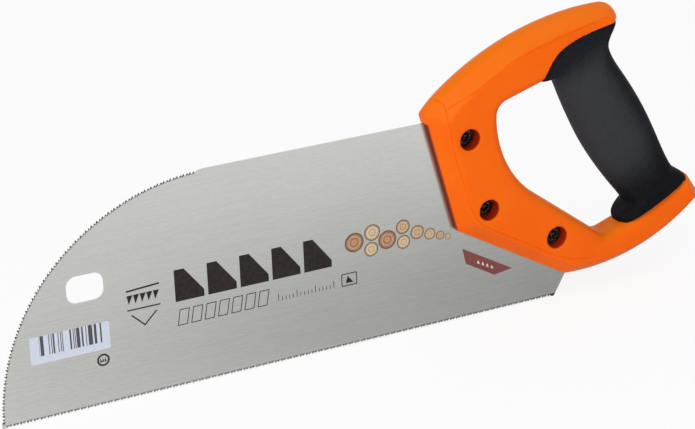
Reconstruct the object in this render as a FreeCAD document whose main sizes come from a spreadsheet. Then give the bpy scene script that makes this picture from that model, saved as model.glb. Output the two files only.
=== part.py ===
import FreeCAD, Part
import math
import os
import Sketcher
from FreeCAD import Placement, Rotation, Vector

# A hand saw with a toothed quarter-circle nose and a closed two-material handle.
# Frame: X runs along the straight tooth line from the nose tip to the heel, Z is up from the
# tooth tips to the back of the blade, and Y = 0 is the middle of the blade's thickness.

os.makedirs("parts", exist_ok=True)
doc = FreeCAD.newDocument("hand_saw")

# ---------------------------------------------------------------- driving dimensions (mm, degrees)
sheet = doc.addObject("Spreadsheet::Sheet", "sizes")
DIMENSIONS = (
    # blade
    ("tooth_line", 300.0),        # straight toothed edge, nose tip to heel
    ("blade_height", 110.0),      # tooth tips to back edge
    ("blade_thickness", 0.8),
    ("nose_radius", 109.6),       # toothed quarter circle at the nose
    ("tooth_pitch", 1.693),       # 15 teeth to the inch
    ("tooth_rake", 15.0),         # face of the tooth, from square to the edge
    ("tooth_relief", 45.0),       # back of the tooth, from square to the edge
    ("tooth_fleam", 15.0),        # alternate side bevel
    ("tip_land", 2.4),            # plain corner left at the nose tip
    ("heel_land", 1.2),           # plain edge left at the heel
    ("nose_sweep", 88.0),         # angle of the nose that is toothed
    ("heel_angle", 60.0),         # heel edge, from the tooth line
    ("hang_x", 46.1),
    ("hang_z", 62.5),
    ("hang_length", 18.6),
    ("hang_width", 13.8),
    ("hang_corner", 5.0),
    # lip of the handle: two straight edges that meet over the blade at 135 degrees
    ("lip_corner_x", 241.7),
    ("lip_corner_drop", 59.6),    # below the back edge of the blade
    ("lip_front_angle", 75.5),
    ("lip_front_length", 66.1),
    ("lip_lower_angle", 31.0),
    ("lip_lower_length", 73.4),
    ("lip_thickness", 6.0),
    ("flank_round", 12.0),        # edge between the front flank and the lower flank
    ("tang_depth", 23.0),         # how far the blade reaches into the handle
    ("tang_clearance", 0.3),
    # handle outline, from the lip corner
    ("brow_x", -9.2),
    ("brow_z", 71.9),
    ("arm_bulge", 11.0),
    ("horn_x", 98.0),
    ("horn_z", 104.2),
    ("horn_round", 9.8),
    ("horn_foot_x", 94.2),
    ("horn_foot_z", 92.6),
    ("seam_mid_x", 61.7),
    ("seam_mid_z", 89.1),
    ("seam_rear_bulge", 2.8),
    ("seam_front_bulge", 2.9),
    ("seam_top_x", 47.6),
    ("seam_top_z", 71.4),
    ("opening_front_x", 21.7),
    ("opening_top_z", 64.1),
    ("opening_low_z", 29.5),
    ("opening_top_round", 7.0),
    ("opening_low_round", 58.0),
    ("opening_heel_x", 84.8),
    ("opening_heel_z", -19.8),
    ("opening_heel_round", 6.0),
    ("seam_toe_x", 98.3),
    ("seam_toe_z", -14.9),
    ("tail_top_x", 137.3),
    ("tail_top_z", 3.0),
    ("tail_tip_x", 145.4),
    ("tail_tip_z", -10.1),
    ("tail_round", 3.0),
    ("shell_run_on", 20.0),
    ("sole_bulge", 9.0),
    # handle thickness and edges
    ("body_thickness", 25.4),     # at the lip corner
    ("body_taper", 1.6),          # each side leans in towards the rear
    ("bevel_angle", 39.5),        # flank between the lip and the side face, from square to the blade
    ("side_spare", 0.6),
    ("crown_width", 2.2),
    ("opening_edge_round", 6.0),
    # core of the grip
    ("core_x", 93.5),
    ("core_z", 38.6),
    ("core_angle", 60.9),
    ("core_up", 63.0),
    ("core_down", 54.0),
    ("core_width", 20.0),
    ("core_thickness", 15.0),
    # soft grip outline and section
    ("grip_front_top_x", 55.3),
    ("grip_front_top_z", 73.6),
    ("grip_front_bulge", 4.0),
    ("grip_front_low_x", 102.6),
    ("grip_front_low_z", -7.1),
    ("grip_rear_top_x", 90.8),
    ("grip_rear_top_z", 93.4),
    ("grip_neck_x", 84.9),
    ("grip_neck_z", 85.6),
    ("grip_rear_bulge", 1.3),
    ("grip_rear_low_x", 124.3),
    ("grip_rear_low_z", 14.6),
    ("grip_tail_x", 134.6),
    ("grip_tail_z", 1.8),
    ("grip_front_round", 5.0),
    ("grip_toe_round", 5.0),
    ("grip_neck_round", 10.0),
    ("grip_rear_round", 22.0),
    ("hold_run_on", 8.0),
    ("grip_thickness", 28.0),     # at the middle of the swell
    ("grip_swell_radius", 350.0), # sides of the grip, along the core
    ("grip_edge_width", 5.0),
    # screws and sleeve nuts
    ("screw_inset", 17.0),
    ("screw_front_along", 18.2),
    ("screw_lower_along", 20.5),
    ("recess_diameter", 11.0),
    ("recess_floor", 3.4),        # from the middle of the blade
    ("head_diameter", 9.6),
    ("head_height", 2.6),
    ("shank_diameter", 4.0),
    ("sleeve_diameter", 6.0),
    ("sleeve_clearance", 0.2),
    ("thread_clearance", 0.1),
    ("sleeve_end_gap", 0.4),
    ("shank_end_gap", 0.6),
    ("drive_width", 1.1),
    ("drive_length", 5.2),
    ("drive_depth", 1.4),
)
for row, (alias, value) in enumerate(DIMENSIONS, start=1):
    sheet.set(f"A{row}", alias)
    sheet.set(f"B{row}", str(value))
    sheet.setAlias(f"B{row}", alias)
sheet.set(f"A{len(DIMENSIONS) + 1}", "lip_corner_z")
sheet.set(f"B{len(DIMENSIONS) + 1}", "=blade_height - lip_corner_drop")
sheet.setAlias(f"B{len(DIMENSIONS) + 1}", "lip_corner_z")
doc.recompute()


def size(alias):
    return float(sheet.get(alias))


TOUCH = 0.05  # points nearer to each other than this are one point


# ---------------------------------------------------------------- geometry shared by the pieces
def rad(alias):
    return math.radians(size(alias))


lip_corner = Vector(size("lip_corner_x"), size("lip_corner_z"), 0)
lip_front_way = Vector(-math.cos(rad("lip_front_angle")), math.sin(rad("lip_front_angle")), 0)
lip_lower_way = Vector(math.cos(rad("lip_lower_angle")), -math.sin(rad("lip_lower_angle")), 0)
lip_front_in = Vector(lip_front_way.y, -lip_front_way.x, 0)
lip_lower_in = Vector(-lip_lower_way.y, lip_lower_way.x, 0)
lip_top = lip_corner + lip_front_way * size("lip_front_length")
lip_heel = lip_corner + lip_lower_way * size("lip_lower_length")
heel_way = Vector(math.cos(rad("heel_angle")), math.sin(rad("heel_angle")), 0)
blade_heel = Vector(size("tooth_line"), 0, 0)


def from_corner(name):
    return lip_corner + Vector(size(name + "_x"), size(name + "_z"), 0)


def meet(point_a, way_a, point_b, way_b):
    """Where two lines of the side view cross."""
    gap = point_b - point_a
    along = (gap.x * way_b.y - gap.y * way_b.x) / (way_a.x * way_b.y - way_a.y * way_b.x)
    return point_a + way_a * along


def inset_corner(inset):
    """Where the two lip edges meet when both are moved into the handle."""
    on_front = lip_corner + lip_front_in * inset
    on_lower = lip_corner + lip_lower_in * inset
    return meet(on_front, lip_front_way, on_lower, lip_lower_way)


def arc_over(start, end, bulge):
    """Arc between two points that stands out by bulge to the left of the way from start to end."""
    way = end - start
    left = Vector(-way.y, way.x, 0).normalize()
    return Part.Arc(start, (start + end) * 0.5 + left * bulge, end)


def eased(before, corner, after, radius):
    """Arc that rounds the corner between two straight edges."""
    back = (before - corner).normalize()
    on = (after - corner).normalize()
    half = back.getAngle(on) / 2
    middle = corner + (back + on).normalize() * (radius / math.sin(half) - radius)
    run = radius / math.tan(half)
    return Part.Arc(corner + back * run, middle, corner + on * run)


def tang_outline(growth):
    """Hidden rear outline of the blade, from the back edge round to the heel edge."""
    depth = size("tang_depth") + growth
    top = Vector(0, size("blade_height") + growth, 0)
    heel = blade_heel + Vector(heel_way.y, -heel_way.x, 0) * growth
    rear_top = meet(top, Vector(1, 0, 0), lip_corner + lip_front_in * depth, lip_front_way)
    rear_low = meet(heel, heel_way, lip_corner + lip_lower_in * depth, lip_lower_way)
    return [rear_top, inset_corner(depth), rear_low]


screw_spots = (
    lip_top - lip_front_way * size("screw_front_along") + lip_front_in * size("screw_inset"),
    inset_corner(size("screw_inset")),
    lip_heel - lip_lower_way * size("screw_lower_along") + lip_lower_in * size("screw_inset"),
)


# ---------------------------------------------------------------- sketch helpers
def new_body(name):
    body = doc.addObject("PartDesign::Body", name)
    body.Label = name
    return body


def new_sketch(body, role, name, offset=Placement()):
    plane = next(item for item in body.Origin.OriginFeatures if item.Role == role)
    sketch = body.newObject("Sketcher::SketchObject", name)
    sketch.AttachmentSupport = [(plane, "")]
    sketch.MapMode = "FlatFace"
    sketch.AttachmentOffset = offset
    return sketch


def bind(sketch, constraint, expression):
    index = sketch.addConstraint(constraint)
    sketch.setExpression(f"Constraints[{index}]", expression)


def anchor_corner(sketch):
    """Construction point at the lip corner; the outlines are dimensioned from it."""
    point = sketch.addGeometry(Part.Point(lip_corner), True)
    bind(sketch, Sketcher.Constraint("DistanceX", -1, 1, point, 1, lip_corner.x), "sizes.lip_corner_x")
    bind(sketch, Sketcher.Constraint("DistanceY", -1, 1, point, 1, lip_corner.y), "sizes.lip_corner_z")
    return point


def pin(sketch, anchor, geometry, end, name):
    """Dimension one end of an edge from the lip corner."""
    spot = from_corner(name) - lip_corner
    for kind, value, axis in (("DistanceX", spot.x, "x"), ("DistanceY", spot.y, "z")):
        bind(sketch, Sketcher.Constraint(kind, anchor, 1, geometry, end, value), f"sizes.{name}_{axis}")


def closed_outline(sketch, edges, names):
    """Chain of lines and arcs; each start that has a name is dimensioned from the lip corner."""
    anchor = anchor_corner(sketch)
    chain = []
    for edge in edges:
        geometry = sketch.addGeometry(edge, False)
        # a sketch keeps its arcs anticlockwise, so an arc drawn the other way has its ends exchanged
        kept = sketch.getPoint(geometry, 1).distanceToPoint(edge.StartPoint) < 1e-6
        chain.append((geometry, 1, 2) if kept else (geometry, 2, 1))
    for (here, _, end), (after, start, _) in zip(chain, chain[1:] + chain[:1]):
        sketch.addConstraint(Sketcher.Constraint("Coincident", here, end, after, start))
    for (geometry, start, _), name in zip(chain, names):
        if name:
            pin(sketch, anchor, geometry, start, name)


def polygon(corners):
    """Lines that join the corners in turn and close the loop."""
    return [Part.LineSegment(a, b) for a, b in zip(corners, corners[1:] + corners[:1])]


def traced(sketch, corners):
    """Closed polygon; each corner is a pair of expressions of the sheet, from the sketch's origin."""
    spots = [Vector(sheet.evalExpression(across), sheet.evalExpression(up), 0) for across, up in corners]
    lines = [sketch.addGeometry(edge, False) for edge in polygon(spots)]
    for here, after in zip(lines, lines[1:] + lines[:1]):
        sketch.addConstraint(Sketcher.Constraint("Coincident", here, 2, after, 1))
    for line, spot, (across, up) in zip(lines, spots, corners):
        places = (("DistanceX", spot.x, across, -2), ("DistanceY", spot.y, up, -1))
        for kind, value, expression, axis in places:
            if value:
                bind(sketch, Sketcher.Constraint(kind, -1, 1, line, 1, value), expression)
            else:
                sketch.addConstraint(Sketcher.Constraint("PointOnObject", line, 1, axis))


def pad_both_ways(body, sketch, name, expression):
    pad = body.newObject("PartDesign::Pad", name)
    pad.Profile = sketch
    pad.SideType = "Symmetric"
    pad.setExpression("Length", expression)
    doc.recompute()
    return pad


def pocket_all(body, sketch, name):
    pocket = body.newObject("PartDesign::Pocket", name)
    pocket.Profile = sketch
    pocket.SideType = "Symmetric"
    pocket.Type = "ThroughAll"
    doc.recompute()
    return pocket


def edges_where(shape, test):
    return [f"Edge{index}" for index, edge in enumerate(shape.Edges, start=1) if test(edge)]


def flat(point):
    """A point of the model as it lies in the side view."""
    return Vector(point.x, point.z, 0)


def ends_at(edge, spot):
    """How many ends of an edge lie at one point of the side view."""
    return sum(flat(vertex.Point).distanceToPoint(spot) < TOUCH for vertex in edge.Vertexes)


def climb(edge):
    """How far an edge goes through the thickness."""
    return abs(edge.Vertexes[0].Point.y - edge.Vertexes[-1].Point.y)


def runs_across(edge, spot):
    """True for an edge that crosses the thickness at one point of the side view."""
    return ends_at(edge, spot) == 2 and climb(edge) > TOUCH


def follows(edge, guides, low):
    """True for an edge further than low from the middle plane that follows a guide of the side view."""
    if any(abs(vertex.Point.y) < low for vertex in edge.Vertexes):
        return False
    middle = Part.Vertex(flat(edge.valueAt((edge.FirstParameter + edge.LastParameter) / 2)))
    return any(middle.distToShape(guide)[0] < TOUCH for guide in guides)


def ease_edges(body, name, base, edges, kind, dimension, expression):
    feature = body.newObject("PartDesign::" + kind, name)
    feature.Base = (base, edges)
    feature.setExpression(dimension, expression)
    doc.recompute()
    return feature


def round_edges(body, name, base, edges, expression):
    return ease_edges(body, name, base, edges, "Fillet", "Radius", expression)


def slope_edges(body, name, base, edges, expression):
    return ease_edges(body, name, base, edges, "Chamfer", "Size", expression)


# ---------------------------------------------------------------- handle body
brow = from_corner("brow")
horn = from_corner("horn")
horn_foot = from_corner("horn_foot")
seam_mid = from_corner("seam_mid")
seam_top = from_corner("seam_top")
opening_top = lip_corner + Vector(size("opening_front_x"), size("opening_top_z"), 0)
opening_low = lip_corner + Vector(size("opening_front_x"), size("opening_low_z"), 0)
opening_heel = from_corner("opening_heel")
seam_toe = from_corner("seam_toe")
tail_top = from_corner("tail_top")
tail_tip = from_corner("tail_tip")


def seam_rear():
    return arc_over(horn_foot, seam_mid, -size("seam_rear_bulge"))


def seam_front():
    return arc_over(seam_mid, seam_top, -size("seam_front_bulge"))


handle = new_body("handle_body")


def arm_and_horn():
    """Top of the arm from the brow, and the round of the horn that leads into the rear edge."""
    arm = arc_over(brow, horn, size("arm_bulge")).toShape().Curve
    down = (horn_foot - horn).normalize()
    inward = Vector(down.y, -down.x, 0) * size("horn_round")
    start = horn + inward - arm.Center
    reach = arm.Radius - size("horn_round")
    fall = -start.dot(down)
    fall -= math.sqrt(fall**2 - start.dot(start) + reach**2)
    centre = horn + inward + down * fall
    outward = (centre - arm.Center).normalize()
    arm_end = arm.Center + outward * arm.Radius
    round_end = horn + down * fall
    round_middle = centre + (arm_end + round_end - centre * 2).normalize() * size("horn_round")
    arm_middle = arm.Center + ((brow + arm_end) * 0.5 - arm.Center).normalize() * arm.Radius
    return [Part.Arc(brow, arm_middle, arm_end), Part.Arc(arm_end, round_middle, round_end)]


def shell_edges():
    """Outer outline; at the rear it runs on past the horn and the tail, where the cutout ends it."""
    arm, horn_arc = arm_and_horn()
    foot_ahead = horn_foot + (horn_foot - horn).normalize() * size("shell_run_on")
    tail_ahead = tail_top + (tail_top - tail_tip).normalize() * size("shell_run_on")
    return [
        Part.LineSegment(lip_corner, lip_top),
        Part.LineSegment(lip_top, brow),
        arm,
        horn_arc,
        Part.LineSegment(horn_arc.EndPoint, foot_ahead),
        Part.LineSegment(foot_ahead, tail_ahead),
        Part.LineSegment(tail_ahead, tail_tip),
        arc_over(tail_tip, lip_heel, size("sole_bulge")),
        Part.LineSegment(lip_heel, lip_corner),
    ]


shell_names = [None, None, "brow", None, None, None, None, "tail_tip", None]
lip_sketch = new_sketch(handle, "XZ_Plane", "lip_outline")
closed_outline(lip_sketch, shell_edges(), shell_names)
lip_slab = pad_both_ways(handle, lip_sketch, "lip_slab", "sizes.lip_thickness")


def side_pad(name, side):
    """Drafted flank that rises from the lip to beyond the side face."""
    raised = new_sketch(handle, "XZ_Plane", name + "_outline")
    raised.setExpression("AttachmentOffset.Base.z", f"{side} * sizes.lip_thickness / 2")
    closed_outline(raised, shell_edges(), shell_names)
    pad = handle.newObject("PartDesign::Pad", name)
    pad.Profile = raised
    pad.Reversed = side < 0
    pad.setExpression("Length", "(sizes.body_thickness - sizes.lip_thickness) / 2 + sizes.side_spare")
    pad.setExpression("TaperAngle", "-sizes.bevel_angle")
    doc.recompute()
    return pad


side_pad("near_flank", 1)
flanks = side_pad("far_flank", -1)

# both sides lean in towards the rear: what stands outside the two leaning planes is cut away
HALF_BODY = "(sizes.body_thickness / 2 - ({x} - sizes.lip_corner_x) * tan(sizes.body_taper))"
PLAN_START = "(sizes.lip_corner_x + sizes.brow_x - sizes.body_thickness)"
PLAN_END = "(sizes.lip_corner_x + sizes.tail_tip_x + sizes.body_thickness)"
for name, side in (("near_side", "-1"), ("far_side", "1")):
    side_plan = new_sketch(handle, "XY_Plane", name + "_plan")
    traced(
        side_plan,
        [
            (PLAN_START, side + " * " + HALF_BODY.format(x=PLAN_START)),
            (PLAN_END, side + " * " + HALF_BODY.format(x=PLAN_END)),
            (PLAN_END, side + " * sizes.body_thickness"),
            (PLAN_START, side + " * sizes.body_thickness"),
        ],
    )
    pocket_all(handle, side_plan, name)

# finger opening and the room of the soft grip, in one cut-out that runs out at the rear
rear_spot = Vector(tail_tip.x + size("shell_run_on"), horn_foot.y, 0)
top_round = eased(seam_top, opening_top, opening_low, size("opening_top_round"))
low_round = eased(opening_top, opening_low, opening_heel, size("opening_low_round"))
heel_round = eased(opening_low, opening_heel, seam_toe, size("opening_heel_round"))
opening_edges = [
    Part.LineSegment(seam_top, top_round.StartPoint),
    top_round,
    Part.LineSegment(top_round.EndPoint, low_round.StartPoint),
    low_round,
    Part.LineSegment(low_round.EndPoint, heel_round.StartPoint),
    heel_round,
    Part.LineSegment(heel_round.EndPoint, seam_toe),
]
rear_edges = [
    Part.LineSegment(seam_toe, tail_top),
    Part.LineSegment(tail_top, rear_spot),
    Part.LineSegment(rear_spot, horn_foot),
]
cutout = new_sketch(handle, "XZ_Plane", "cutout_outline")
closed_outline(
    cutout,
    [seam_rear(), seam_front()] + opening_edges + rear_edges,
    ["horn_foot", "seam_mid", "seam_top"] + [None] * 6 + ["seam_toe", "tail_top", None],
)
shell = pocket_all(handle, cutout, "cutout")
tail_edges = edges_where(shell.Shape, lambda edge: runs_across(edge, tail_tip))
shell = round_edges(handle, "tail_round", shell, tail_edges, "sizes.tail_round")

# sloped crown along the top of the arm and over the horn
half_lip = size("lip_thickness") / 2
crown_lines = [edge.toShape() for edge in (*arm_and_horn(), Part.LineSegment(horn, horn_foot))]
crown_edges = edges_where(
    shell.Shape, lambda edge: climb(edge) < TOUCH and follows(edge, crown_lines, half_lip - TOUCH)
)
shell = slope_edges(handle, "crown", shell, crown_edges, "sizes.crown_width")

# edge between the two flanks, wider towards the side faces than at the lip
flank_edges = edges_where(
    shell.Shape, lambda edge: ends_at(edge, lip_corner) == 1 and climb(edge) > TOUCH
)
shell = round_edges(handle, "flank_edges", shell, flank_edges, "sizes.flank_round")

# rounded rim of the finger opening
opening_lines = [edge.toShape() for edge in opening_edges]
rim_edges = edges_where(shell.Shape, lambda edge: follows(edge, opening_lines, half_lip))
shell = round_edges(handle, "opening_rim", shell, rim_edges, "sizes.opening_edge_round")

# core bar that the soft grip is moulded round
def core_placement():
    centre = from_corner("core")
    return Placement(Vector(centre.x, centre.y, 0), Rotation(Vector(0, 0, -1), size("core_angle")))


def core_sketch(body, name):
    sketch = new_sketch(body, "XZ_Plane", name, core_placement())
    sketch.setExpression("AttachmentOffset.Base.x", "sizes.lip_corner_x + sizes.core_x")
    sketch.setExpression("AttachmentOffset.Base.y", "sizes.lip_corner_z + sizes.core_z")
    sketch.setExpression("AttachmentOffset.Rotation.Angle", "sizes.core_angle")
    traced(
        sketch,
        [
            ("-sizes.core_up", "-sizes.core_width / 2"),
            ("sizes.core_down", "-sizes.core_width / 2"),
            ("sizes.core_down", "sizes.core_width / 2"),
            ("-sizes.core_up", "sizes.core_width / 2"),
        ],
    )
    return sketch


core = pad_both_ways(handle, core_sketch(handle, "core_outline"), "core", "sizes.core_thickness")

# slot for the blade, open through both lips
top_out = Vector(lip_top.x - size("tang_depth"), size("blade_height") + size("tang_clearance"), 0)
rear_top, rear_corner, rear_low = tang_outline(size("tang_clearance"))
heel_out = rear_low - heel_way * (rear_low.y / heel_way.y)
slot = new_sketch(handle, "XZ_Plane", "blade_slot_outline")
slot_corners = [rear_top, rear_corner, rear_low, heel_out, Vector(top_out.x, heel_out.y, 0), top_out]
closed_outline(slot, polygon(slot_corners), [])
blade_slot = handle.newObject("PartDesign::Pocket", "blade_slot")
blade_slot.Profile = slot
blade_slot.SideType = "Symmetric"
blade_slot.setExpression("Length", "sizes.blade_thickness")
doc.recompute()


# screw holes, and a recess over each on both sides
def hole_circles(sketch, diameter):
    """A circle at each screw, with its diameter bound to an expression."""
    width = sheet.evalExpression(diameter)
    for spot in screw_spots:
        circle = sketch.addGeometry(Part.Circle(spot, Vector(0, 0, 1), width / 2), False)
        bind(sketch, Sketcher.Constraint("Diameter", circle, width), diameter)


SLEEVE_BORE = "sizes.sleeve_diameter + sizes.sleeve_clearance"
holes_plan = new_sketch(handle, "XZ_Plane", "screw_holes_plan")
hole_circles(holes_plan, SLEEVE_BORE)
pocket_all(handle, holes_plan, "screw_holes")
for name, side in (("near_recesses", 1), ("far_recesses", -1)):
    recess_plan = new_sketch(handle, "XZ_Plane", name + "_plan")
    recess_plan.setExpression("AttachmentOffset.Base.z", f"{side} * sizes.recess_floor")
    hole_circles(recess_plan, "sizes.recess_diameter")
    recesses = handle.newObject("PartDesign::Pocket", name)
    recesses.Profile = recess_plan
    recesses.Reversed = side > 0
    recesses.setExpression("Length", "sizes.body_thickness")
    doc.recompute()


# ---------------------------------------------------------------- soft grip
grip_front_top = from_corner("grip_front_top")
grip_front_low = from_corner("grip_front_low")
grip_rear_top = from_corner("grip_rear_top")
grip_neck = from_corner("grip_neck")
grip_rear_low = from_corner("grip_rear_low")
grip_tail = from_corner("grip_tail")
grip_front = arc_over(grip_front_low, grip_front_top, size("grip_front_bulge"))
grip_rear = arc_over(grip_neck, grip_rear_low, size("grip_rear_bulge"))

grip = new_body("soft_grip")


def run_on(start, end):
    """Point further along the way from start to end, inside the handle body."""
    return end + (end - start).normalize() * size("hold_run_on")


# the hand-hold runs on past both seams at first, so that its edges can be sloped in one sweep
arm_side = run_on(grip_front_top, seam_top)
horn_side = run_on(grip_neck, grip_rear_top)
toe_side = run_on(grip_front_low, seam_toe)
tail_side = run_on(grip_rear_low, grip_tail)
arm_corner = Vector(arm_side.x, horn_side.y, 0)
hold_outline = new_sketch(grip, "XZ_Plane", "hold_outline")
closed_outline(
    hold_outline,
    [
        Part.LineSegment(grip_front_top, arm_side),
        Part.LineSegment(arm_side, arm_corner),
        Part.LineSegment(arm_corner, horn_side),
        Part.LineSegment(horn_side, grip_neck),
        grip_rear,
        Part.LineSegment(grip_rear_low, tail_side),
        Part.LineSegment(tail_side, toe_side),
        Part.LineSegment(toe_side, grip_front_low),
        grip_front,
    ],
    ["grip_front_top", None, None, None, "grip_neck", "grip_rear_low", None, None, "grip_front_low"],
)
soft = pad_both_ways(grip, hold_outline, "hold", "sizes.grip_thickness")

for name, spot in (
    ("grip_front_round", grip_front_top),
    ("grip_toe_round", grip_front_low),
    ("grip_neck_round", grip_neck),
    ("grip_rear_round", grip_rear_low),
):
    corner_edges = edges_where(soft.Shape, lambda edge: runs_across(edge, spot))
    soft = round_edges(grip, name, soft, corner_edges, "sizes." + name)
hold_lines = [edge.toShape() for edge in (grip_front, grip_rear)]
hold_edges = edges_where(soft.Shape, lambda edge: follows(edge, hold_lines, half_lip))
soft = slope_edges(grip, "hold_edges", soft, hold_edges, "sizes.grip_edge_width")

# the sides swell like a barrel along the core
half_length = size("core_up") + size("shell_run_on")
half_grip = size("grip_thickness") / 2
end_fall = size("grip_swell_radius") - math.sqrt(size("grip_swell_radius") ** 2 - half_length**2)
swell_plan = new_sketch(
    grip, "XY_Plane", "swell_plan", Placement(Vector(), Rotation(Vector(0, 1, 0), size("core_angle")))
)
swell_plan.setExpression("AttachmentOffset.Base.x", "sizes.lip_corner_x + sizes.core_x")
swell_plan.setExpression("AttachmentOffset.Base.z", "sizes.lip_corner_z + sizes.core_z")
swell_plan.setExpression("AttachmentOffset.Rotation.Angle", "sizes.core_angle")
for side in (1, -1):
    ends = [Vector(along, side * (half_grip - end_fall), 0) for along in (-half_length, half_length)]
    outer = [Vector(end.x, side * half_grip * 2, 0) for end in ends]
    for edge in (
        Part.Arc(ends[0], Vector(0, side * half_grip, 0), ends[1]),
        Part.LineSegment(ends[1], outer[1]),
        Part.LineSegment(outer[1], outer[0]),
        Part.LineSegment(outer[0], ends[0]),
    ):
        swell_plan.addGeometry(edge, False)
soft = pocket_all(grip, swell_plan, "swell")

# both ends are trimmed to the seams with the handle body
room = size("shell_run_on") * 2
arm_seam = new_sketch(grip, "XZ_Plane", "arm_seam")
arm_corners = [
    seam_top,
    Vector(seam_top.x - room, seam_top.y - room, 0),
    Vector(seam_top.x - room, horn.y + room, 0),
    Vector(horn.x + room, horn.y + room, 0),
    Vector(horn.x + room, horn_foot.y, 0),
    horn_foot,
]
arm_lines = [Part.LineSegment(a, b) for a, b in zip(arm_corners, arm_corners[1:])]
closed_outline(
    arm_seam,
    arm_lines + [seam_rear(), seam_front()],
    ["seam_top", None, None, None, None, "horn_foot", "seam_mid"],
)
soft = pocket_all(grip, arm_seam, "arm_trim")
tail_way = (tail_top - seam_toe).normalize()
tail_down = Vector(tail_way.y, -tail_way.x, 0) * room
toe_out = seam_toe - tail_way * room
tail_out = tail_top + tail_way * room
tail_seam = new_sketch(grip, "XZ_Plane", "tail_seam")
tail_corners = [seam_toe, tail_top, tail_out, tail_out + tail_down, toe_out + tail_down, toe_out]
closed_outline(
    tail_seam,
    polygon(tail_corners),
    ["seam_toe", "tail_top"],
)
soft = pocket_all(grip, tail_seam, "tail_trim")

core_room = grip.newObject("PartDesign::Pocket", "core_room")
core_room.Profile = core_sketch(grip, "core_room_outline")
core_room.SideType = "Symmetric"
core_room.setExpression("Length", "sizes.core_thickness")
doc.recompute()


# ---------------------------------------------------------------- screws and sleeve nuts
def turned(body, name, corners):
    """Solid of revolution about the body's Z axis; corners are (radius, height) expressions."""
    sketch = new_sketch(body, "XZ_Plane", name + "_profile")
    traced(sketch, corners)
    feature = body.newObject("PartDesign::Revolution", name)
    feature.Profile = sketch
    feature.ReferenceAxis = (sketch, ["V_Axis"])
    feature.Angle = 360
    doc.recompute()
    return feature


def drive_slot(body, name, turn):
    """Straight slot across the top of the head."""
    turned_round = Placement(Vector(), Rotation(Vector(0, 0, 1), turn))
    sketch = new_sketch(body, "XY_Plane", name + "_outline", turned_round)
    sketch.setExpression("AttachmentOffset.Base.z", "sizes.recess_floor + sizes.head_height")
    traced(
        sketch,
        [
            ("-sizes.drive_length / 2", "-sizes.drive_width / 2"),
            ("sizes.drive_length / 2", "-sizes.drive_width / 2"),
            ("sizes.drive_length / 2", "sizes.drive_width / 2"),
            ("-sizes.drive_length / 2", "sizes.drive_width / 2"),
        ],
    )
    pocket = body.newObject("PartDesign::Pocket", name)
    pocket.Profile = sketch
    pocket.setExpression("Length", "sizes.drive_depth")
    doc.recompute()


SEAT = "sizes.recess_floor"
HEAD_TOP = "(sizes.recess_floor + sizes.head_height)"
HEAD_RADIUS = "sizes.head_diameter / 2"
HEAD_CORNERS = [
    (HEAD_RADIUS, SEAT),
    (HEAD_RADIUS, HEAD_TOP),
    ("0", HEAD_TOP),
]


def handle_screw(name):
    """Cross-slotted screw whose shank goes into the sleeve nut."""
    body = new_body(name)
    shank_end = "-(sizes.recess_floor - sizes.shank_end_gap)"
    shank = "sizes.shank_diameter / 2"
    turned(body, "shank_and_head", [("0", shank_end), (shank, shank_end), (shank, SEAT)] + HEAD_CORNERS)
    drive_slot(body, "first_slot", 0)
    drive_slot(body, "second_slot", 90)
    return body


def sleeve_nut(name):
    """Round-headed nut with a sleeve that goes through the blade."""
    body = new_body(name)
    sleeve_end = "-(sizes.recess_floor - sizes.sleeve_end_gap)"
    sleeve = "sizes.sleeve_diameter / 2"
    bore = "(sizes.shank_diameter + sizes.thread_clearance) / 2"
    corners = [("0", SEAT), (bore, SEAT), (bore, sleeve_end), (sleeve, sleeve_end), (sleeve, SEAT)]
    turned(body, "sleeve_and_head", corners + HEAD_CORNERS)
    drive_slot(body, "slot", 0)
    return body


pieces = [handle, grip]
for number, spot in enumerate(screw_spots, start=1):
    for make, name, turn in ((handle_screw, "handle_screw", 90), (sleeve_nut, "sleeve_nut", -90)):
        fastener = make(f"{name}_{number}")
        fastener.Placement = Placement(Vector(spot.x, 0, spot.y), Rotation(Vector(1, 0, 0), turn))
        pieces.append(fastener)


# ---------------------------------------------------------------- blade
def gullet(spot, way, inward, lean):
    """One gullet on both sides of the blade: its bottom points and the ways of its two flanks."""
    half_blade = size("blade_thickness") / 2
    sideways = way * (lean * math.tan(rad("tooth_fleam")) * half_blade)
    bottoms = [spot + inward * gullet_depth - sideways, spot + inward * gullet_depth + sideways]
    face = -inward * math.cos(rad("tooth_rake")) - way * math.sin(rad("tooth_rake"))
    back = -inward * math.cos(rad("tooth_relief")) + way * math.sin(rad("tooth_relief"))
    return bottoms, face, back


def toothed_run(gullets, start, start_way, end, end_way):
    """Side-view points of a row of teeth on the two sides of the blade, between two plain edges."""
    runs = []
    for side in (0, 1):
        first_bottoms, first_face, _ = gullets[0]
        points = [meet(start, start_way, first_bottoms[side], first_face)]
        for (bottoms, _, back), (next_bottoms, next_face, _) in zip(gullets, gullets[1:]):
            points.append(bottoms[side])
            points.append(meet(bottoms[side], back, next_bottoms[side], next_face))
        last_bottoms, _, last_back = gullets[-1]
        points.append(last_bottoms[side])
        points.append(meet(end, end_way, last_bottoms[side], last_back))
        runs.append(points)
    return runs


flank_span = math.tan(rad("tooth_rake")) + math.tan(rad("tooth_relief"))
fleam_spread = math.tan(rad("tooth_fleam")) * size("blade_thickness")
gullet_depth = (size("tooth_pitch") + fleam_spread) / flank_span
nose_centre = Vector(size("nose_radius"), 0, 0)
nose_tip = Vector(0, 0, 0)
shoulder = Vector(size("nose_radius"), size("blade_height"), 0)

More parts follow.
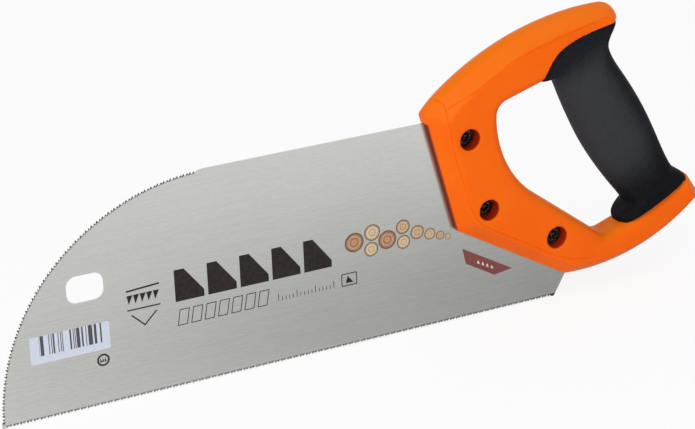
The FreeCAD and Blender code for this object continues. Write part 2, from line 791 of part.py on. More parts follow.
# straight row, from the heel to the nose tip
line_count = int((size("tooth_line") - size("heel_land") - size("tip_land")) / size("tooth_pitch"))
line_gullets = []
for number in range(line_count):
    spot = Vector(size("tooth_line") - size("heel_land") - (number + 0.5) * size("tooth_pitch"), 0, 0)
    line_gullets.append(gullet(spot, Vector(-1, 0, 0), Vector(0, 1, 0), (-1) ** number))
line_run = toothed_run(line_gullets, blade_heel, Vector(1, 0, 0), nose_tip, Vector(1, 0, 0))

# curved row, from the nose tip up to the back
nose_step = size("tooth_pitch") / size("nose_radius")
nose_start = size("tip_land") / size("nose_radius")
nose_count = int((rad("nose_sweep") - nose_start) / nose_step)
nose_gullets = []
for number in range(nose_count):
    turn = nose_start + (number + 0.5) * nose_step
    outward = Vector(-math.cos(turn), math.sin(turn), 0)
    way = Vector(math.sin(turn), math.cos(turn), 0)
    nose_gullets.append(gullet(nose_centre + outward * size("nose_radius"), way, -outward, (-1) ** number))
nose_end_turn = nose_start + nose_count * nose_step
nose_end = nose_centre + Vector(-math.cos(nose_end_turn), math.sin(nose_end_turn), 0) * size("nose_radius")
nose_run = toothed_run(nose_gullets, nose_tip, Vector(0, 1, 0), nose_end, shoulder - nose_end)


def on_side(point, side):
    """A side-view point on the near face (0) or the far face (1) of the blade."""
    return Vector(point.x, (side - 0.5) * size("blade_thickness"), point.y)


outlines = []
for side in (0, 1):
    outline = line_run[side] + [nose_tip] + nose_run[side] + [shoulder] + tang_outline(0) + [blade_heel]
    outlines.append([on_side(point, side) for point in outline])
faces = [Part.Face(Part.makePolygon(outline + outline[:1])) for outline in outlines]
near, far = outlines
for index in range(len(near)):
    after = (index + 1) % len(near)
    corners = [near[index], near[after], far[after], far[index]]
    faces.append(Part.Face(Part.makePolygon(corners + corners[:1])))
blade_blank = doc.addObject("Part::Feature", "blade_blank")
blade_blank.Shape = Part.Solid(Part.Shell(faces))

# hang slot and the holes of the sleeve nuts
blade_cuts = doc.addObject("Sketcher::SketchObject", "blade_cuts_plan")
blade_cuts.Placement = Placement(Vector(), Rotation(Vector(1, 0, 0), 90))
hole_circles(blade_cuts, SLEEVE_BORE)
hang_centre = Vector(size("hang_x"), size("hang_z"), 0)
corner_x = size("hang_length") / 2 - size("hang_corner")
corner_z = size("hang_width") / 2 - size("hang_corner")
slot_edges = []
for quarter, (across, up) in enumerate(((1, 1), (-1, 1), (-1, -1), (1, -1))):
    centre = hang_centre + Vector(across * corner_x, up * corner_z, 0)
    turns = [(quarter + part) * math.pi / 2 for part in (0, 0.5, 1)]
    spots = [centre + Vector(math.cos(turn), math.sin(turn), 0) * size("hang_corner") for turn in turns]
    slot_edges.append(Part.Arc(*spots))
for arc, next_arc in zip(list(slot_edges), slot_edges[1:] + slot_edges[:1]):
    slot_edges.append(Part.LineSegment(arc.EndPoint, next_arc.StartPoint))
for edge in slot_edges:
    blade_cuts.addGeometry(edge, False)
blade_cutters = doc.addObject("Part::Extrusion", "blade_cutters")
blade_cutters.Base = blade_cuts
blade_cutters.DirMode = "Normal"
blade_cutters.Symmetric = True
blade_cutters.Solid = True
blade_cutters.setExpression("LengthFwd", "sizes.blade_thickness * 4")
blade = doc.addObject("Part::Cut", "blade")
blade.Label = "blade"
blade.Base = blade_blank
blade.Tool = blade_cutters
pieces.append(blade)
doc.recompute()

# ---------------------------------------------------------------- frame, checks and files
# the origin stands on the tooth line, under the middle of the whole length
whole = FreeCAD.BoundBox()
for piece in pieces:
    whole.add(piece.Shape.optimalBoundingBox())
for piece in pieces:
    place = piece.Placement
    place.Base = place.Base - Vector(whole.Center.x, 0, 0)
    piece.Placement = place
doc.recompute()

failed = [item.Name for item in doc.Objects if "Invalid" in item.State or "Error" in item.State]
if failed:
    raise RuntimeError("failed objects: " + ", ".join(failed))
for piece in pieces:
    if piece.Shape.isNull() or not piece.Shape.isValid() or len(piece.Shape.Solids) != 1:
        raise RuntimeError("bad shape: " + piece.Label)
for piece in pieces:
    piece.Shape.exportStep(f"parts/{piece.Label}.step")
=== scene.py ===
import math

import bmesh
import bpy
from mathutils import Matrix, Vector


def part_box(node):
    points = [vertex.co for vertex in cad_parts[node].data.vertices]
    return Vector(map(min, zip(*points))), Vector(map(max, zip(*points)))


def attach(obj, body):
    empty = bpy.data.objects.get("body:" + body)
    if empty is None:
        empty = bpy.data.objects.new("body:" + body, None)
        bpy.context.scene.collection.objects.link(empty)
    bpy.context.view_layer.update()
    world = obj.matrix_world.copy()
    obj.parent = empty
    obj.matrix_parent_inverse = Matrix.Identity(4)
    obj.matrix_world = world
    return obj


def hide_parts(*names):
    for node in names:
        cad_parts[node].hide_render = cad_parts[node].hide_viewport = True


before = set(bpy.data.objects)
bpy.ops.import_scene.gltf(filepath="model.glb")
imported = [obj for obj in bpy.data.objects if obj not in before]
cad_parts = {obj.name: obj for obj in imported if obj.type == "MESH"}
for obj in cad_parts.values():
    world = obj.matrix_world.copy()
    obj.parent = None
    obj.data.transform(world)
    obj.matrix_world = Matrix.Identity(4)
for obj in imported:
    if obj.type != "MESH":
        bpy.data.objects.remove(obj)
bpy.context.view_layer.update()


# ------------------------------------------------------------------ camera
# The camera stands to the left of the nose of the blade and a little above the saw, with a long
# lens. Places along the saw are counted from the nose tip, where the toothed line starts.
scene = bpy.context.scene
scene.view_settings.view_transform = "Standard"
nose_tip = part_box("blade")[0].x
VIEW_FROM = Vector((nose_tip - 0.26234, -0.96286, 0.51044))
VIEW_TO = Vector((nose_tip + 0.18355, 0, 0.07048))
VIEW_ROLL = math.radians(-2.303)
LENS = 121.19

camera = bpy.data.objects.new("camera", bpy.data.cameras.new("camera"))
scene.collection.objects.link(camera)
camera.data.sensor_width = 36
camera.data.lens = LENS
camera.data.clip_start = 0.01
camera.data.clip_end = 60
aim = (VIEW_TO - VIEW_FROM).to_track_quat("-Z", "Y").to_matrix().to_4x4()
camera.matrix_world = Matrix.Translation(VIEW_FROM) @ aim @ Matrix.Rotation(VIEW_ROLL, 4, "Z")
scene.camera = camera


# ------------------------------------------------------------------ table, daylight and lamps
# A white table under a plain studio sky. The table shows as white to the lens and in the gloss
# of the steel, apart from a painted shade that the gloss shows close to the saw, and keeps a faint
# shadow of the saw.
MM = 0.001          # the scene is in metres, and the saw's own sizes are written in millimetres


class Value:
    """An output of a node, with arithmetic written as plain expressions."""

    def __init__(self, finish, socket):
        self.finish = finish
        self.socket = socket

    def maths(self, operation, *others):
        return self.finish.node("ShaderNodeMath", {"operation": operation}, *others)

    def __add__(self, other):
        return self.maths("ADD", self, other)

    def __radd__(self, other):
        return self.maths("ADD", other, self)

    def __sub__(self, other):
        return self.maths("SUBTRACT", self, other)

    def __rsub__(self, other):
        return self.maths("SUBTRACT", other, self)

    def __mul__(self, other):
        return self.maths("MULTIPLY", self, other)

    def __rmul__(self, other):
        return self.maths("MULTIPLY", other, self)

    def __pow__(self, other):
        return self.maths("POWER", self, other)

    def least(self, other):
        return self.maths("MINIMUM", self, other)

    def most(self, other):
        return self.maths("MAXIMUM", self, other)

    def size(self):
        return self.maths("ABSOLUTE", self)

    def floor(self):
        return self.maths("FLOOR", self)

    def sine(self):
        return self.maths("SINE", self)

    def rise(self, start, end):
        """0 up to start and 1 from end on, with a soft step between them."""
        settings = {"interpolation_type": "SMOOTHSTEP"}
        return self.finish.node("ShaderNodeMapRange", settings, self, start, end)


class Finish:
    """A material, or the sky, with its main shader and the nodes that feed it."""

    def __init__(self, name, kind=bpy.data.materials, shader="Principled BSDF", **plain):
        self.material = kind.new(name)
        self.material.use_nodes = True
        self.tree = self.material.node_tree
        self.shader = self.tree.nodes[shader]
        for socket, value in plain.items():
            self.shader.inputs[socket.replace("_", " ")].default_value = value

    def node(self, kind, settings, *values, output=0, **named):
        """Adds a node: its settings first, then its sockets in turn, then those given by name."""
        node = self.tree.nodes.new(kind)
        for setting, value in settings.items():
            setattr(node, setting, value)
        sockets = list(enumerate(values)) + [(name.replace("_", " "), v) for name, v in named.items()]
        for socket, value in sockets:
            if isinstance(value, Value):
                self.tree.links.new(value.socket, node.inputs[socket])
            elif value is not None:
                node.inputs[socket].default_value = value
        return Value(self, node.outputs[output])

    def feed(self, name, value):
        self.tree.links.new(value.socket, self.shader.inputs[name])

    def place(self, scale=(1, 1, 1), shift=(0, 0, 0)):
        """The point of the surface in millimetres along the saw's own axes, stretched by scale."""
        where = self.node("ShaderNodeTexCoord", {}, output="Object")
        stretch = [part / MM for part in scale]
        return self.node("ShaderNodeMapping", {}, where, Location=shift, Scale=stretch)

    def from_nose(self):
        """The point of the surface in millimetres, counted from the nose tip."""
        return self.place(shift=(-nose_tip / MM, 0, 0))

    def facing(self):
        """The way that the surface faces."""
        return self.node("ShaderNodeTexCoord", {}, output="Normal")

    def parts(self, vector):
        """The x, y and z of a vector."""
        outputs = self.node("ShaderNodeSeparateXYZ", {}, vector).socket.node.outputs
        return [Value(self, output) for output in outputs]

    def distance(self, place, centre):
        return self.node("ShaderNodeVectorMath", {"operation": "DISTANCE"}, place, centre, output=1)

    def reach(self, vector, way):
        """How far a vector goes along a way."""
        return self.node("ShaderNodeVectorMath", {"operation": "DOT_PRODUCT"}, vector, way, output=1)

    def noise(self, place, scale, detail=3.0, rough=0.5):
        named = {"Vector": place, "Scale": scale, "Detail": detail, "Roughness": rough}
        return self.node("ShaderNodeTexNoise", {}, **named)

    def chance(self, number):
        """A number between 0 and 1 that differs from one whole number to the next."""
        return self.node("ShaderNodeTexWhiteNoise", {"noise_dimensions": "1D"}, W=number)

    def blend(self, share, dark, light):
        """A colour between two others; the sockets for numbers and vectors stand before theirs."""
        dark, light = [c if isinstance(c, Value) else (*c, 1) for c in (dark, light)]
        skipped = [None] * 5
        return self.node("ShaderNodeMix", {"data_type": "RGBA"}, share, *skipped, dark, light, output=2)

    def relief(self, height, depth, strength):
        """Bump of the surface; depth is in millimetres."""
        return self.node("ShaderNodeBump", {}, Height=height, Strength=strength, Distance=depth * MM)

    def either(self, share, first, second):
        """A shader between two others."""
        return self.node("ShaderNodeMixShader", {}, share, first, second)


TABLE_SIDE = 6.0
TABLE_WHITE = 0.85          # share of plain white in what the lens sees of the table
GREY_IN_GLOSS = 0.40        # painted shade: how far the steel sees the table darkened, over the middle of the saw
GREY_TO_RIGHT = 1.4         # and how much more of it for each metre to the right
LEAST_GREY, MOST_GREY = 0.02, 0.55
GREY_REACH = 0.28           # metres in front of and behind the saw, where the grey ends
SKY = 0.56                  # daylight on the saw; the lens and the gloss see it at 1
WHITE = (1, 1, 1, 1)
BLACK = (0, 0, 0, 1)

white_top = Finish("white_table", Base_Color=(0.9, 0.9, 0.9, 1), Roughness=0.9)
seen = white_top.node("ShaderNodeLightPath", {}, output="Is Camera Ray")
mirrored = white_top.node("ShaderNodeLightPath", {}, output="Is Glossy Ray")
passed = white_top.node("ShaderNodeLightPath", {}, output="Is Transmission Ray")
lit = Value(white_top, white_top.shader.outputs[0])
glow = white_top.node("ShaderNodeEmission", {}, WHITE, 1.0)
unlit = white_top.node("ShaderNodeEmission", {}, BLACK, 0.0)
looked_at = white_top.either(TABLE_WHITE, lit, glow)

# painted shade: the steel shows the table a little greyer close to the saw, and more so to the right
sideways, ahead, _ = white_top.parts(white_top.node("ShaderNodeTexCoord", {}, output="Object"))
painted_gloss_shade = (GREY_IN_GLOSS + sideways * GREY_TO_RIGHT).most(LEAST_GREY).least(MOST_GREY)
nearness = 1 - ahead.size().rise(0.0, GREY_REACH)
mirror_image = white_top.either(painted_gloss_shade * nearness, glow, unlit)
plain_table = white_top.either(seen.most(passed), lit, looked_at)
surface = white_top.either(mirrored, plain_table, mirror_image)
white_top.tree.links.new(surface.socket, white_top.tree.nodes["Material Output"].inputs["Surface"])

bpy.ops.object.select_all(action="DESELECT")
bpy.ops.mesh.primitive_plane_add(size=TABLE_SIDE, location=(0, 0, 0))
table = bpy.context.object
table.name = "table"
table.data.materials.append(white_top.material)

daylight = Finish("studio", bpy.data.worlds, "Background", Color=WHITE)
seen = daylight.node("ShaderNodeLightPath", {}, output="Is Camera Ray")
mirrored = daylight.node("ShaderNodeLightPath", {}, output="Is Glossy Ray")
daylight.feed("Strength", seen.most(mirrored) * (1 - SKY) + SKY)
scene.world = daylight.material

LAMPS = (
    # name, place and target in metres, size, watts
    ("window_left", (-0.9, -1.1, 1.5), (0, 0, 0.08), 1.1, 12),
    ("window_top", (0.35, -0.2, 1.7), (0.05, 0, 0.08), 0.9, 3.5),
    ("window_low", (-0.8, -0.75, 0.12), (0.1, 0, 0.06), 0.5, 3.3),
)
for name, place, target, size, watts in LAMPS:
    lamp = bpy.data.objects.new(name, bpy.data.lights.new(name, "AREA"))
    lamp.data.size = size
    lamp.data.energy = watts
    lamp.location = place
    lamp.rotation_euler = (Vector(target) - Vector(place)).to_track_quat("-Z", "Y").to_euler()
    scene.collection.objects.link(lamp)


# ------------------------------------------------------------------ blade
# One sheet of spring steel, 0.8 mm thick, brushed along its length and lacquered. Its teeth are
# hardened, which leaves them dark, with a painted glint here and there.
near_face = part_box("blade")[0].y
NOSE_RADIUS = 109.6
NOSE_END = (105.0, 106.0)       # mm along the blade, where the arc of the nose stops
NOSE_FOOT = (0.5, 1.0)          # mm over the straight row, where the arc starts
TOOTH_ZONE = (0.65, 1.30)       # mm in from the tips: dark up to the first, plain from the second
LINE_SHARE = 0.72               # a height over the straight row counts for less: darker further in
TIP_ZONE = (2.4, 3.4)           # mm from the nose tip, which has no tooth
GROUND_ZONE = (2.2, 2.6)        # mm in from the tips, up to which edges are ground dark
STEEL_LOW = (0.565, 0.57, 0.545)
STEEL_HIGH = (0.65, 0.655, 0.63)
HARDENED = (0.022, 0.021, 0.021)
GLINT_COLOUR = (0.30, 0.30, 0.29)
GROUND = (0.10, 0.097, 0.093)

steel = Finish("brushed_steel", Metallic=1.0, Roughness=0.22)
brush = steel.noise(steel.place((0.03, 1, 2.6)), 1.0, 6, 0.62)
fine_brush = steel.noise(steel.place((0.05, 1, 7)), 1.0, 3, 0.6)
short_brush = steel.noise(steel.place((0.25, 1, 1.6)), 1.0, 3, 0.55)
cloud = steel.noise(steel.place((0.02, 0.02, 0.02)), 1.0, 3, 0.5)
tone = brush * 0.35 + fine_brush * 0.2 + cloud * 0.15 + short_brush * 0.3
plate = steel.blend(tone.rise(0.3, 0.7), STEEL_LOW, STEEL_HIGH)

spot = steel.from_nose()
along, _, up = steel.parts(spot)
nose_centre = (NOSE_RADIUS, near_face / MM, 0)
from_arc = NOSE_RADIUS - steel.distance(spot, nose_centre)
in_nose = (1 - along.rise(*NOSE_END)) * up.rise(*NOSE_FOOT)
from_line = up * LINE_SHARE
from_tips = (from_arc * in_nose + from_line * (1 - in_nose)).least(from_line)
toothed = (1 - from_tips.rise(*TOOTH_ZONE)) * (along + up).rise(*TIP_ZONE)
# painted highlight: pale glints in specks of noise over the dark teeth
painted_glint = steel.noise(steel.place((1.2, 1, 1.2)), 1.0, 2, 0.5).rise(0.6, 0.7)
plate = steel.blend(toothed * 0.95, plate, steel.blend(painted_glint, HARDENED, GLINT_COLOUR))

# painted reflection: the lip of the handle, as mirrored in the lacquer, is painted into the steel's
# colour as a thin brown band
LIP_CORNER = (241.7, 50.4)
LIP_ANGLE = math.radians(75.5)
LIP_NORMAL = (math.sin(LIP_ANGLE), 0, math.cos(LIP_ANGLE))
LIP_REACH = LIP_CORNER[0] * LIP_NORMAL[0] + LIP_CORNER[1] * LIP_NORMAL[2]
IMAGE_ZONE = (-2.0, -0.5)       # mm in front of the lip, where its image starts and is full
IMAGE_FOOT = (LIP_CORNER[1] - 1.0, LIP_CORNER[1] + 2.0)
LIP_REFLECTION_COLOUR = (0.33, 0.21, 0.165)
from_lip = steel.reach(spot, LIP_NORMAL) - LIP_REACH
painted_lip_reflection = from_lip.rise(*IMAGE_ZONE) * up.rise(*IMAGE_FOOT)
plate = steel.blend(painted_lip_reflection * 0.9, plate, LIP_REFLECTION_COLOUR)

FLAT_FROM = (0.90, 0.985)       # faces that lean more than this are ground and not brushed
flatness = steel.parts(steel.facing())[1].size()
ground = (1 - flatness.rise(*FLAT_FROM)) * (1 - from_tips.rise(*GROUND_ZONE))
steel.feed("Base Color", steel.blend(ground, plate, GROUND))
steel.feed("Roughness", 0.17 + brush * 0.16)
steel.feed("Normal", steel.relief(brush + fine_brush * 0.8, 0.03, 0.32))
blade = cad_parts["blade"]
blade.data.materials.clear()
blade.data.materials.append(steel.material)


# ------------------------------------------------------------------ sticker
# A pale paper sticker near the nose, with a block of plain bars and a faint blue cast. It is
# stuck on the steel, and its corners are cut round.
def select_only(*pieces):
    """Selects these pieces alone; the first is the active one."""
    bpy.ops.object.select_all(action="DESELECT")
    for piece in pieces:
        piece.select_set(True)
    bpy.context.view_layer.objects.active = pieces[0]


def apply(piece, kind, **settings):
    """Puts a modifier on a piece and makes it part of the mesh."""
    select_only(piece)
    modifier = piece.modifiers.new(kind.lower(), kind)
    for setting, value in settings.items():
        setattr(modifier, setting, value)
    bpy.ops.object.modifier_apply(modifier=modifier.name)


def flat_shape(corners, line=None):
    """A flat shape on the near face of the blade: corners in mm from the nose tip. With line, only
    an outline of that width is kept."""
    bpy.ops.object.select_all(action="DESELECT")
    bpy.ops.mesh.primitive_circle_add(vertices=len(corners), radius=MM, fill_type="NGON")
    shape = bpy.context.object
    for vertex, (x, z) in zip(shape.data.vertices, corners):
        vertex.co = (nose_tip + x * MM, near_face, z * MM)
    if line:
        bpy.ops.object.mode_set(mode="EDIT")
        bpy.ops.mesh.select_all(action="SELECT")
        bpy.ops.mesh.inset(thickness=line * MM, use_even_offset=True)
        bpy.ops.mesh.delete(type="FACE")
        bpy.ops.object.mode_set(mode="OBJECT")
    return shape


def printed(name, shapes, thickness, finish):
    """Joins flat shapes into one thin layer that lies on the near face of the blade."""
    select_only(*shapes)
    if len(shapes) > 1:
        bpy.ops.object.join()
    layer = bpy.context.object
    layer.name = name
    bpy.ops.object.mode_set(mode="EDIT")
    bpy.ops.mesh.select_all(action="SELECT")
    bpy.ops.mesh.quads_convert_to_tris()
    bpy.ops.mesh.select_all(action="DESELECT")
    mesh = bmesh.from_edit_mesh(layer.data)
    for face in mesh.faces:
        face.select = face.normal.y > 0
    bmesh.update_edit_mesh(layer.data)
    bpy.ops.mesh.flip_normals()
    bpy.ops.object.mode_set(mode="OBJECT")
    apply(layer, "SOLIDIFY", thickness=thickness * MM, offset=1.0)
    layer.data.materials.clear()
    layer.data.materials.append(finish.material)
    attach(layer, "root")


def round_corners(left, low, right, high, radius):
    """Corners of a rectangle whose corners are round, each in four steps."""
    places = []
    for x, z, start in (
        (right - radius, high - radius, 0), (left + radius, high - radius, 90),
        (left + radius, low + radius, 180), (right - radius, low + radius, 270),
    ):
        for step in range(5):
            turn = math.radians(start + 90 * step / 4)
            places.append((x + radius * math.cos(turn), z + radius * math.sin(turn)))
    return places


STICKER = (16.7, 29.1, 56.4, 43.2)      # left, low, right and high edge
STICKER_CORNER = 0.8
PAPER = 0.06                            # thickness
BARS_LEFT, BARS_RIGHT, BARS_FOOT = 21.2, 52.4, 32.9
BAR_PITCH = 0.42
BAR_EDGE = 0.1                          # the soft edge of the block of bars
FIRST_BAR = 40                          # sets which bars are dark
DARK_FROM = (0.44, 0.46)                # the chance from which a bar is dark
PAPER_LOW = (0.55, 0.60, 0.71)
PAPER_HIGH = (0.62, 0.66, 0.76)
BAR_INK = (0.020, 0.016, 0.019)

paper = Finish("sticker_paper", Roughness=0.42)
along, _, up = paper.parts(paper.from_nose())
column = (along * (1 / BAR_PITCH)).floor()
bar = paper.chance(column + FIRST_BAR).rise(*DARK_FROM)
bar = bar * along.rise(BARS_LEFT, BARS_LEFT + BAR_EDGE)
bar = bar * (1 - along.rise(BARS_RIGHT, BARS_RIGHT + BAR_EDGE))
bar = bar * up.rise(BARS_FOOT, BARS_FOOT + BAR_EDGE)
fibre = paper.noise(paper.place(), 1.4, 4, 0.6)
sheet = paper.blend(fibre.rise(0.3, 0.7), PAPER_LOW, PAPER_HIGH)
paper.feed("Base Color", paper.blend(bar * 0.93, sheet, BAR_INK))
paper.feed("Roughness", 0.36 + fibre * 0.14)
paper.feed("Normal", paper.relief(fibre, 0.02, 0.3))
printed("sticker", [flat_shape(round_corners(*STICKER, STICKER_CORNER))], PAPER, paper)


# ------------------------------------------------------------------ dark prints
# Screen-printed in dark brown ink on the lacquer: a row of bold saw teeth, a row of thin slanted
# frames under it, a short scale of ticks, a ring, a small square and a picture of the tooth line.
INK = 0.025                             # thickness of the ink
INK_LOW = (0.012, 0.007, 0.0065)
INK_HIGH = (0.026, 0.017, 0.0155)


def circle(centre, radius, count):
    """Corners on a circle."""
    turns = [2 * math.pi * step / count for step in range(count)]
    return [(centre[0] + radius * math.cos(turn), centre[1] + radius * math.sin(turn)) for turn in turns]


def upright(left, foot, width, height):
    """Corners of an upright rectangle."""
    return [(left, foot), (left + width, foot), (left + width, foot + height), (left, foot + height)]


left, foot, pitch, height = 90.8, 44.9, 17.0, 16.6
dark_shapes = []
for tooth in range(5):
    x = left + pitch * tooth
    dark_shapes.append(flat_shape([
        (x, foot), (x + pitch * 0.88, foot), (x + pitch * 0.88, foot + height * 0.22),
        (x + pitch * 0.30, foot + height), (x, foot + height),
    ]))

left, foot, pitch, width, height, slant = 91.0, 32.2, 7.0, 5.2, 8.4, 1.6
for frame_number in range(7):
    x = left + pitch * frame_number
    top = foot + height
    corners = [(x, foot), (x + width, foot), (x + width + slant, top), (x + slant, top)]
    dark_shapes.append(flat_shape(corners, 0.42))

left, foot, pitch, width = 144.2, 33.2, 2.0, 0.34
for tick in range(16):
    height = 3.6 if tick % 5 == 0 else 1.9
    dark_shapes.append(flat_shape(upright(left + pitch * tick, foot, width, height)))

dark_shapes.append(flat_shape(circle((52.2, 23.6), 3.2, 40), 0.9))
for x in (50.4, 51.6, 52.8):
    dark_shapes.append(flat_shape([(x, 22.6), (x + 1.1, 22.6), (x + 0.3, 24.7)]))

dark_shapes.append(flat_shape(round_corners(178.6, 32.6, 187.2, 39.4, 0.6), 0.5))
dark_shapes.append(flat_shape([(181.0, 34.2), (185.2, 34.2), (182.0, 38.0)]))

left, right, foot, pitch = 66.1, 83.0, 53.6, 3.36
dark_shapes.append(flat_shape([(left, 55.4), (right, 56.4), (right, 57.3), (left, 56.3)]))
for tooth in range(5):
    x = left + 0.1 + pitch * tooth
    dark_shapes.append(flat_shape([(x, foot), (x + 3.1, foot), (x + 0.9, 48.9)]))
dark_shapes.append(flat_shape(upright(left, 45.6, right - left, 0.7)))
point = [(67.6, 43.2), (74.5, 36.4), (81.4, 43.2), (80.4, 43.2), (74.5, 37.4), (68.6, 43.2)]
dark_shapes.append(flat_shape(point))

ink = Finish("dark_ink", Roughness=0.4, Specular_IOR_Level=0.25)
worn = ink.noise(ink.place(), 0.5, 5, 0.65)
ink.feed("Base Color", ink.blend(worn.rise(0.3, 0.75), INK_LOW, INK_HIGH))
ink.feed("Roughness", 0.32 + worn * 0.2)
ink.feed("Normal", ink.relief(worn, 0.01, 0.4))
printed("dark_prints", dark_shapes, INK, ink)


# ------------------------------------------------------------------ row of log ends
# A colour print of sawn log ends, from a thick one to a thin one, each with its own rings and
# a rim of bark.
LOGS = (
    # place and radius
    (186.4, 55.0, 5.2), (196.4, 58.2, 4.4), (195.6, 49.4, 3.9), (204.6, 52.6, 5.0), (213.4, 57.6, 3.9),
    (213.6, 49.4, 3.7), (221.3, 53.0, 3.8), (228.4, 50.6, 3.1), (234.2, 48.6, 2.4), (238.6, 46.9, 1.7),
)
PALE_WOOD = ((0.52, 0.30, 0.16), (0.66, 0.54, 0.34))
DEEP_WOOD = ((0.22, 0.085, 0.045), (0.36, 0.23, 0.13))
BARK = (0.10, 0.055, 0.035)
RINGS = 16

wood = Finish("printed_wood", Roughness=0.45)
spot = wood.from_nose()
nearest = None          # twice the number of the log, plus the share of its radius
for number, (x, z, radius) in enumerate(LOGS, start=1):
    share = wood.distance(spot, (x, near_face / MM, z)) * (1 / radius)
    inside = 1 - share.rise(0.98, 1.02)
    numbered = share * inside + inside * number * 2
    nearest = numbered if nearest is None else nearest.most(numbered)
log_number = (nearest * 0.5).floor()
rim = nearest - log_number * 2
wander = wood.noise(spot, 0.7, 3, 0.5)
rings = ((rim * RINGS + wander * 3).sine() * 0.5 + 0.5) ** 1.6
hue = wood.chance(log_number)
pale = wood.blend(hue.rise(0.1, 0.9), *PALE_WOOD)
deep = wood.blend(hue.rise(0.2, 0.8), *DEEP_WOOD)
wood.feed("Base Color", wood.blend(rim.rise(0.84, 0.9), wood.blend(rings * 0.85, pale, deep), BARK))
wood.feed("Roughness", 0.38 + wander * 0.2)
log_shapes = [flat_shape(circle((x, z), radius, 28)) for x, z, radius in LOGS]
printed("log_ends", log_shapes, INK, wood)


# ------------------------------------------------------------------ red field
# A dark red field printed under the heel of the handle, with a pale row of points across it.
# The points are printed over the red.
RED_FIELD = [(246.6, 38.4), (248.5, 29.6), (264.9, 19.8), (275.2, 21.3)]
RED_LOW, RED_HIGH = (0.17, 0.042, 0.036), (0.23, 0.060, 0.050)
CHALK_LOW, CHALK_HIGH = (0.60, 0.57, 0.54), (0.72, 0.70, 0.66)
FIRST_POINT = (254.8, 28.6)
POINT_STEP = (2.6, -1.45)

red_ink = Finish("red_ink", Roughness=0.42)
mottle = red_ink.noise(red_ink.place(), 0.6, 4, 0.6)
red_ink.feed("Base Color", red_ink.blend(mottle.rise(0.3, 0.7), RED_LOW, RED_HIGH))
red_ink.feed("Roughness", 0.34 + mottle * 0.18)
printed("red_field", [flat_shape(RED_FIELD)], INK, red_ink)

pale_ink = Finish("pale_ink", Roughness=0.42)
chalk = pale_ink.noise(pale_ink.place(), 0.9, 3, 0.6)
pale_ink.feed("Base Color", pale_ink.blend(chalk.rise(0.3, 0.7), CHALK_LOW, CHALK_HIGH))
pale_shapes = []
for number in range(4):
    x, z = FIRST_POINT[0] + POINT_STEP[0] * number, FIRST_POINT[1] + POINT_STEP[1] * number
    shape = flat_shape([(x, z), (x + 1.7, z - 0.95), (x + 0.95, z + 1.5)])
    for vertex in shape.data.vertices:
        vertex.co.y -= INK * MM
    pale_shapes.append(shape)
printed("pale_points", pale_shapes, INK, pale_ink)


# ------------------------------------------------------------------ handle body
# A hard orange moulding with a satin skin, one closed frame clamped on the blade. Its edges come
# out of the mould a little round, and a fine line runs along the edge of its flanks.
def joined_copy(node, name):
    """A copy of a CAD node with its triangles joined."""
    copy = bpy.data.objects.new(name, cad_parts[node].data.copy())
    scene.collection.objects.link(copy)
    select_only(copy)
    bpy.ops.object.mode_set(mode="EDIT")
    bpy.ops.mesh.select_all(action="SELECT")
    bpy.ops.mesh.remove_doubles(threshold=1e-6)
    bpy.ops.object.mode_set(mode="OBJECT")
    copy.data.materials.clear()
    return copy


def shade_round(piece, angle):
    """Shades a piece smooth, apart from edges sharper than this angle."""
    select_only(piece)
    bpy.ops.object.shade_smooth_by_angle(angle=math.radians(angle))


def from_tip(x, z):
    """A place in the middle of the saw's thickness, given in mm from the nose tip."""
    return Vector((nose_tip + x * MM, 0, z * MM))


def block(middle, turn, size):
    """A block to cut with: its middle, how far its length rises, and its size in mm."""
    bpy.ops.object.select_all(action="DESELECT")
    bpy.ops.mesh.primitive_cube_add(size=MM, location=middle, rotation=(0, -turn, 0))
    cutter = bpy.context.object
    cutter.scale = size
    bpy.ops.object.transform_apply(location=True, rotation=True, scale=True)
    return cutter


def cut_away(piece, cutter):
    """Takes a cutter out of a piece and removes the cutter."""
    apply(piece, "BOOLEAN", operation="DIFFERENCE", object=cutter, solver="EXACT")
    bpy.data.objects.remove(cutter)


BODY_GRID = 0.8          # mm between the points of the skin
EDGE_PASSES = 4          # rounds of smoothing, which soften its edges
body = joined_copy("handle_body", "orange_body")
apply(body, "REMESH", mode="VOXEL", voxel_size=BODY_GRID * MM)
apply(body, "SMOOTH", factor=0.5, iterations=EDGE_PASSES)

# the lip stands a little back beside the blade, below the back edge
SET_BACK = 1.15
SET_BACK_ENDS = (-2.0, 61.6)          # first and last place along the lip
SET_BACK_ROOM = 1.5                   # how far the cutter reaches out in front of the lip
SET_BACK_WIDTH = 12
first, last = SET_BACK_ENDS
up_the_lip = Vector((-math.cos(LIP_ANGLE), 0, math.sin(LIP_ANGLE)))
middle = from_tip(*LIP_CORNER) + up_the_lip * (first + last) / 2 * MM
middle += Vector(LIP_NORMAL) * (SET_BACK / 2 - SET_BACK_ROOM / 2) * MM
set_back_size = (SET_BACK + SET_BACK_ROOM, SET_BACK_WIDTH, last - first)
set_back = block(middle, math.pi / 2 - LIP_ANGLE, set_back_size)

